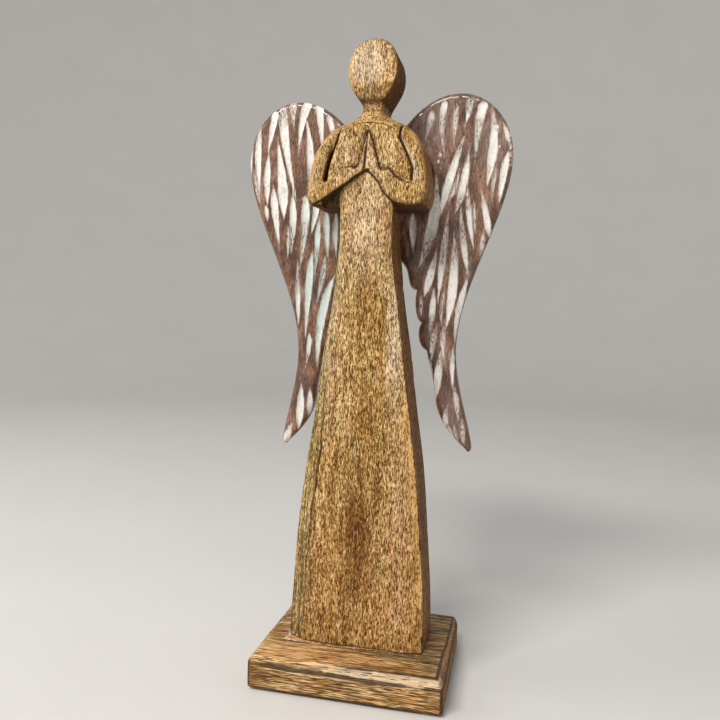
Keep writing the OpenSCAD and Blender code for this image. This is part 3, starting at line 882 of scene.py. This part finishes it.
class Nodes:
    """A material's node tree, with a short call for each kind of node. order puts the grain's axis last."""

    def __init__(self, name, order="XYZ"):
        self.order = order
        self.material = bpy.data.materials.new(name)
        self.material.use_nodes = True
        self.tree = self.material.node_tree
        self.tree.nodes.clear()
        self.shader = self.tree.nodes.new("ShaderNodeBsdfPrincipled")
        output = self.tree.nodes.new("ShaderNodeOutputMaterial")
        self.tree.links.new(self.shader.outputs[0], output.inputs[0])

    def feed(self, socket, value):
        """Link an output to the socket, or set the socket's own value."""
        if hasattr(value, "is_output"):
            self.tree.links.new(value, socket)
        else:
            socket.default_value = (*value, 1) if socket.type == "RGBA" else value

    def node(self, kind, inputs, **settings):
        node = self.tree.nodes.new("ShaderNode" + kind)
        for key, value in settings.items():
            setattr(node, key, value)
        for key, value in inputs.items():
            self.feed(node.inputs[key], value)
        return node

    def math(self, operation, *values):
        return self.node("Math", dict(enumerate(values)), operation=operation).outputs[0]

    def times(self, a, b):
        return self.math("MULTIPLY", a, b)

    def plus(self, a, b):
        return self.math("ADD", a, b)

    def minus(self, a, b):
        return self.math("SUBTRACT", a, b)

    def larger(self, a, b):
        return self.math("MAXIMUM", a, b)

    def vary(self, base, value, weight):
        """base, moved by weight times how far value is from 0.5."""
        return self.math("MULTIPLY_ADD", self.minus(value, 0.5), weight, base)

    def spread(self, width, length, push, rate):
        """Object coordinates over the features' width and length, pushed about by soft noise."""
        parts = self.node("SeparateXYZ", {0: self.node("TexCoord", {}).outputs["Object"]}).outputs
        sizes = zip(self.order, (width, width, length))
        scaled = [self.times(parts["XYZ".index(axis)], 1 / (MM * size)) for axis, size in sizes]
        vector = self.node("CombineXYZ", dict(enumerate(scaled))).outputs[0]
        if push == 0:
            return vector
        noise = self.node("TexNoise", {"Vector": vector, "Scale": rate, "Detail": 2}).outputs["Color"]
        centred = self.node("VectorMath", {0: noise, 1: (0.5, 0.5, 0.5)}, operation="SUBTRACT").outputs[0]
        pushed = self.node("VectorMath", {0: centred, "Scale": push}, operation="SCALE").outputs[0]
        return self.node("VectorMath", {0: vector, 1: pushed}, operation="ADD").outputs[0]

    def noise(self, width, length, detail, roughness, push=0, rate=0.5):
        inputs = {"Vector": self.spread(width, length, push, rate), "Scale": 1}
        return self.node("TexNoise", {**inputs, "Detail": detail, "Roughness": roughness}).outputs["Fac"]

    def cells(self, width, length, push, rate):
        """The distance to the nearest cell's middle, and a random number for that cell."""
        node = self.node("TexVoronoi", {"Vector": self.spread(width, length, push, rate), "Scale": 1})
        return node.outputs["Distance"], self.node("SeparateColor", {0: node.outputs["Color"]}).outputs[0]

    def values(self, *names):
        """The mesh's per-vertex values of those names."""
        return [self.node("Attribute", {}, attribute_name=name).outputs["Fac"] for name in names]

    def between(self, value, low, high, to_low=0, to_high=1, kind="SMOOTHSTEP"):
        inputs = {"Value": value, "From Min": low, "From Max": high, "To Min": to_low, "To Max": to_high}
        return self.node("MapRange", inputs, interpolation_type=kind).outputs[0]

    def mix(self, a, b, factor, blend="MIX"):
        return self.node("Mix", {0: factor, 6: a, 7: b}, data_type="RGBA", blend_type=blend).outputs[2]

    def tint(self, a, b, factor):
        return self.mix(a, b, factor, "MULTIPLY")

    def ramp(self, value, stops):
        node = self.node("ValToRGB", {0: value})
        elements = node.color_ramp.elements
        while len(elements) < len(stops):
            elements.new(0.5)
        for element, (place, colour) in zip(elements, stops):
            element.position = place
            element.color = (*colour, 1)
        return node.outputs[0]

    def bump(self, height, distance, strength):
        inputs = {"Height": height, "Distance": distance, "Strength": strength}
        return self.node("Bump", inputs).outputs[0]

    def finish(self, **sockets):
        for key, value in sockets.items():
            self.feed(self.shader.inputs[key.replace("_", " ")], value)
        return self.material


def wood_pores(n, pore, dash, hollow):
    """Short dark pores in two sizes, fewer in some places and crowded in the hollows."""
    crowd = n.between(n.noise(7, 16, 2, 0.5), 0.36, 0.6, 0.7)
    pores = 0
    for width, length, least, most in ((1.5, 0.95, 0.14, 0.44), (1.1, 0.6, 0.14, 0.42)):
        near, pick = n.cells(pore * width, dash * length, 0.4, 0.6)
        reach = n.between(pick, 0.25, 1, least, most, "LINEAR")
        pores = n.larger(pores, n.between(n.math("DIVIDE", near, reach), 1, 0.6))
    return n.times(pores, n.larger(crowd, hollow))


def wood(name, grain, pore, dash, stops, warm, dark, pale, pale_amount, shade, greyed, fade):
    """Waxed open-pored wood; pore and dash are the width and length of its pores. The values say where it
    is darkened by painted shade and stains (closed), lightened by wear and painted highlights
    (exposed), made darker by smoke and painted shadow and, below 0, faded and painted lighter
    (smoke), crowded with pores (hollow), in painted shade (side), tinted grey by
    painted light and shade (grey), pinker, partly as painted light and shade (rose), and
    spotted with glue."""
    n = Nodes(name, grain)
    smoke, closed, exposed, hollow = n.values("smoke", "closed", "exposed", "hollow")
    side, grey, rose, glue = n.values("side", "grey", "rose", "glue")

    dashes = n.noise(pore, dash, 1, 0.6, 0.4)
    fine = n.noise(pore * 2, dash * 0.8, 2, 0.65, 0.6)
    streak = n.noise(pore * 4, dash * 9, 3, 0.6, 0.7, 0.4)
    mottle = n.noise(8, 15, 3, 0.55)
    bands = n.noise(14, 90, 2, 0.5, 0.6, 0.8)

    tone = 0.53
    dark_dashes = n.math("MINIMUM", dashes, 0.56)
    for value, weight in ((dark_dashes, 2.6), (fine, 1.3), (streak, 0.85), (mottle, 0.4), (bands, 0.35)):
        tone = n.vary(tone, value, weight)
    tone = n.math("MULTIPLY_ADD", n.times(smoke, n.between(mottle, 0.3, 0.7, 0.75, 1.25)), -0.09, tone)
    # Smoke, and painted shadow on the plinth, tint the wood darker
    colour = n.tint(n.ramp(tone, stops), SMOKED, n.between(smoke, 0, 2.2))
    colour = n.tint(colour, warm, n.between(n.noise(12, 50, 1, 0.5), 0.42, 0.66, 0, 0.7))
    colour = n.tint(colour, GREENISH, n.between(n.noise(5, 16, 4, 0.65), 0.47, 0.66, 0, 0.5))
    rosy = n.between(n.noise(4.2, 18, 4, 0.65), 0.47, 0.66, 0, 0.4)
    colour = n.tint(colour, ROSY, n.larger(rosy, rose))

    # Below 0 the wood fades: faded patches, and painted light on lit places
    faded = n.between(smoke, 0, -1.2, 0, 0.45)
    fade_dark, fade_light = [tuple(min(1, c * k) for c in fade) for k in (0.5, 1.15)]
    colour = n.mix(colour, n.mix(fade_dark, fade_light, n.between(tone, 0.2, 0.75)), faded)
    ragged = n.times(n.minus(n.math("MULTIPLY_ADD", dashes, 0.4, streak), 0.7), 1.1)
    # Wear and painted highlights lighten towards the pale colour
    colour = n.mix(colour, pale, n.between(n.plus(exposed, ragged), 0.2, 0.75, 0, pale_amount))
    # Painted light and shade as a grey tint
    colour = n.tint(colour, greyed, n.times(grey, n.between(streak, 0.4, 0.6, 1.5, 0.3)))

    pores = wood_pores(n, pore, dash, hollow)
    colour = n.mix(colour, dark, n.times(pores, 0.96))
    colour = n.tint(colour, shade, side)
    colour = n.mix(colour, dark, n.between(n.vary(hollow, mottle, 1), 0.2, 0.75, 0, 0.38))
    # Painted shade and stains darken towards the dark colour
    colour = n.mix(colour, dark, n.between(n.plus(closed, ragged), 0.16, 0.52, 0, 0.88))
    colour = n.mix(colour, GLUE, glue)

    height = n.math("MULTIPLY_ADD", dashes, 0.5, n.times(fine, 0.3))
    height = n.minus(n.math("MULTIPLY_ADD", streak, 0.4, height), n.times(pores, 0.6))
    roughness = n.between(n.plus(dashes, pores), 0.4, 1.4, 0.42, 0.66)
    roughness = n.math("MULTIPLY_ADD", side, 0.3, roughness)
    normal = n.bump(height, 0.0007, 0.9)
    return n.finish(Base_Color=colour, Roughness=roughness, Normal=normal, Specular_IOR_Level=0.2)


def figure_wood():
    return wood(
        "figure_wood", "XYZ", 0.5, 3.2,
        [(0.14, (0.105, 0.044, 0.006)), (0.34, (0.24, 0.124, 0.026)), (0.5, (0.37, 0.212, 0.056)),
         (0.66, (0.52, 0.332, 0.122)), (0.88, (0.81, 0.59, 0.32))],
        warm=(1.0, 0.88, 0.74), dark=(0.045, 0.021, 0.007), pale=(0.76, 0.45, 0.15), pale_amount=0.55,
        shade=(0.36, 0.17, 0.045), greyed=(0.6, 0.7, 0.62), fade=(0.72, 0.57, 0.44),
    )


def plinth_wood():
    return wood(
        "plinth_wood", "YZX", 0.5, 12,
        [(0.14, (0.1, 0.05, 0.016)), (0.34, (0.23, 0.13, 0.046)), (0.5, (0.415, 0.24, 0.08)),
         (0.66, (0.56, 0.355, 0.15)), (0.86, (0.8, 0.57, 0.33))],
        warm=(1.0, 0.85, 0.66), dark=(0.05, 0.027, 0.012), pale=(0.72, 0.57, 0.4), pale_amount=0.5,
        shade=(0.6, 0.42, 0.3), greyed=(0.56, 0.6, 0.62), fade=(0.8, 0.49, 0.16),
    )


def wing_enamel():
    """Red-brown stain under gloss, with gouged strokes filled with rubbed, speckled off-white. The values
    say how far inside a stroke a point is (stroke), where its paint is unworn (whole), where the edge is worn
    and given a painted highlight (exposed) or chipped (chip), where there is a drip, which is
    whitened as a painted glint, where painted cool light makes the white bluer (chill) and where a
    painted sheen lies on the brown (sheen)."""
    n = Nodes("wing_enamel")
    stroke, whole, exposed = n.values("stroke", "whole", "exposed")
    drip, chip, chill, mist = n.values("drip", "chip", "chill", "mist")
    grain = n.noise(0.9, 6, 3, 0.65, 0.7)
    grit = n.noise(1.1, 1.8, 3, 0.7)
    patch = n.noise(10, 22, 3, 0.6)

    tone = n.vary(n.vary(n.vary(0.46, grain, 1.1), grit, 1.2), patch, 1.6)
    brown = n.ramp(tone, [
        (0.2, (0.045, 0.014, 0.004)), (0.42, (0.1, 0.036, 0.012)),
        (0.6, (0.16, 0.067, 0.03)), (0.8, (0.28, 0.15, 0.09)),
    ])
    haze = n.between(n.noise(6, 17, 4, 0.65), 0.5, 0.72)
    near_stroke = n.between(stroke, -2.4, -0.2, 0.12, 0.55)
    # Painted sheen: patches where the brown is made paler and pinker
    misty = n.times(mist, n.between(grain, 0.32, 0.6, 0.3))
    brown = n.mix(brown, (0.42, 0.3, 0.25), n.larger(n.times(haze, near_stroke), misty))

    speck_near, pick = n.cells(0.8, 3.2, 0.6, 0.7)
    speck = n.times(n.between(speck_near, 0.52, 0.28), n.between(pick, 0.15, 0.35))
    rub = n.larger(n.minus(1, whole), n.between(patch, 0.56, 0.66, 0, 0.8))
    lost = n.times(rub, n.larger(speck, n.between(grain, 0.42, 0.62, 0.15, 0.75)))
    lost = n.larger(lost, n.times(speck, n.between(grit, 0.45, 0.62, 0, 0.55)))
    paint = n.times(n.between(n.vary(stroke, grain, 1.5), -0.2, 0.45), n.minus(1, lost))
    white = n.ramp(
        n.vary(n.between(stroke, 0, 1.2, 0.3, 0.66), grain, 0.8),
        [(0.15, (0.42, 0.34, 0.29)), (0.45, (0.66, 0.61, 0.55)), (0.75, (0.83, 0.815, 0.77))],
    )
    # Painted cool light makes the left wing's white bluer
    white = n.tint(white, (0.66, 0.85, 0.88), chill)
    colour = n.mix(brown, white, paint)

    # Edges lightened: wear, with a painted highlight along the rounded rims
    colour = n.mix(colour, (0.42, 0.27, 0.2), n.between(n.vary(exposed, grain, 1), 0.75, 1.15, 0, 0.25))
    bare = n.ramp(grain, [(0.44, (0.6, 0.28, 0.08)), (0.52, (0.92, 0.84, 0.74))])
    colour = n.mix(colour, bare, n.times(chip, n.between(grit, 0.44, 0.54)))
    # Drips are whitened as painted glints
    colour = n.mix(colour, (0.75, 0.74, 0.72), n.between(drip, 0.2, 0.6, 0, 0.6))
    normal = n.bump(n.plus(n.times(grain, 0.5), n.times(patch, 0.8)), 0.00025, 0.45)
    shine = n.between(grain, 0.3, 0.7, 0.38, 0.55)
    return n.finish(Base_Color=colour, Roughness=shine, Normal=normal, Coat_Weight=0.9, Coat_Roughness=0.05)


def pad_rubber():
    """Clear soft bumper, faintly clouded."""
    n = Nodes("pad_rubber")
    cloud = n.noise(2.5, 2.5, 3, 0.6)
    colour = n.ramp(cloud, [(0.3, (0.62, 0.62, 0.6)), (0.7, (0.84, 0.84, 0.82))])
    roughness = n.between(cloud, 0.3, 0.7, 0.12, 0.28)
    return n.finish(Base_Color=colour, Roughness=roughness, Normal=n.bump(cloud, 0.0001, 0.4))


def screw_steel():
    """Dull zinc plate with fine turning marks."""
    n = Nodes("screw_steel")
    cloud = n.noise(1.6, 1.6, 4, 0.65)
    scratch = n.noise(0.12, 0.9, 2, 0.5)
    colour = n.ramp(cloud, [(0.3, (0.42, 0.41, 0.38)), (0.7, (0.63, 0.63, 0.61))])
    roughness = n.between(n.plus(cloud, scratch), 0.6, 1.4, 0.26, 0.5)
    normal = n.bump(scratch, 0.00005, 0.5)
    return n.finish(Base_Color=colour, Metallic=1, Roughness=roughness, Normal=normal)


def floor_paper():
    """Pale backdrop paper, very faintly mottled."""
    n = Nodes("floor")
    colour = n.ramp(n.noise(120, 120, 3, 0.5), [(0.3, (0.66, 0.645, 0.62)), (0.7, (0.68, 0.665, 0.64))])
    return n.finish(Base_Color=colour, Roughness=0.6)


# ---------------- stage, light and camera

CAMERA_AT = (0.092, -0.426, 0.2276)
CAMERA_TURN, CAMERA_TILT, CAMERA_ROLL = radians(12.73), radians(-4.65), radians(1.44)
CAMERA_LENS = 36.14
FLOOR_FLAT, FLOOR_RISE, WALL_TOP = 1.3, 0.9, 2.6
FLOOR_SIDES = 96
LIGHT_TARGET = Vector((0, 0, 0.2))
KEY = {"at": (-0.42, -1.05, 1.28), "size": (0.9, 0.25), "power": 25, "colour": (1.0, 0.97, 0.93)}
FILL = {"at": (-1.2, -0.3, 0.75), "size": (0.6, 0.6), "power": 4, "colour": (0.96, 0.97, 1.0)}
WORLD_COLOUR, WORLD_STRENGTH = (0.93, 0.96, 1.0, 1), 0.5


def make_camera():
    """The photograph's view: turned left, tilted down and rolled a little."""
    data = bpy.data.cameras.new("camera")
    data.lens = CAMERA_LENS
    data.sensor_width = 36
    data.clip_start = 0.01
    camera = add_object("camera", data)
    aim = Matrix.Rotation(CAMERA_TURN, 4, "Z") @ Matrix.Rotation(pi / 2 + CAMERA_TILT, 4, "X")
    camera.matrix_world = Matrix.Translation(CAMERA_AT) @ aim @ Matrix.Rotation(CAMERA_ROLL, 4, "Z")
    bpy.context.scene.camera = camera


def make_floor():
    """A pale floor that curves up into a backdrop on every side."""
    bend = np.linspace(0.1, pi / 2, 14)
    profile = [(FLOOR_FLAT, 0)]
    profile += [(FLOOR_FLAT + FLOOR_RISE * sin(a), FLOOR_RISE - FLOOR_RISE * cos(a)) for a in bend]
    profile.append((FLOOR_FLAT + FLOOR_RISE, WALL_TOP))
    angles = [2 * pi * k / FLOOR_SIDES for k in range(FLOOR_SIDES)]
    vertices = [(0, 0, 0)] + [(r * cos(a), r * sin(a), z) for r, z in profile for a in angles]
    faces = []
    for k in range(FLOOR_SIDES):
        after = (k + 1) % FLOOR_SIDES
        faces.append((0, 1 + k, 1 + after))
        for a in range(1, 1 + (len(profile) - 1) * FLOOR_SIDES, FLOOR_SIDES):
            faces.append((a + k, a + FLOOR_SIDES + k, a + FLOOR_SIDES + after, a + after))
    mesh = bpy.data.meshes.new("floor")
    mesh.from_pydata(vertices, [], faces)
    mesh.polygons.foreach_set("use_smooth", [True] * len(faces))
    mesh.materials.append(floor_paper())
    add_object("floor", mesh)


def make_light(name, at, size, power, colour):
    """An area light aimed at the middle of the figure, and hidden from the camera itself."""
    data = bpy.data.lights.new(name, "AREA")
    data.shape = "RECTANGLE"
    data.size, data.size_y = size
    data.energy = power
    data.color = colour
    light = add_object(name, data)
    light.location = at
    light.rotation_euler = (LIGHT_TARGET - Vector(at)).to_track_quat("-Z", "Y").to_euler()
    light.visible_camera = False


def make_world():
    world = bpy.data.worlds.new("world")
    bpy.context.scene.world = world
    world.use_nodes = True
    background = world.node_tree.nodes["Background"]
    background.inputs["Color"].default_value = WORLD_COLOUR
    background.inputs["Strength"].default_value = WORLD_STRENGTH


# ---------------- the scene

make_camera()
make_figure(figure_wood())
enamel = wing_enamel()
make_wing("wing_right", 1, STROKES_RIGHT, enamel)
make_wing("wing_left", -1, STROKES_LEFT, enamel)
make_plinth(plinth_wood())

rubber, steel = pad_rubber(), screw_steel()
for name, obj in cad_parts.items():
    if name.startswith("pad_") or "screw" in name:
        obj.data.materials.clear()
        obj.data.materials.append(rubber if name.startswith("pad_") else steel)

make_floor()
make_world()
make_light("key", **KEY)
make_light("fill", **FILL)
bpy.context.scene.view_settings.view_transform = "Standard"
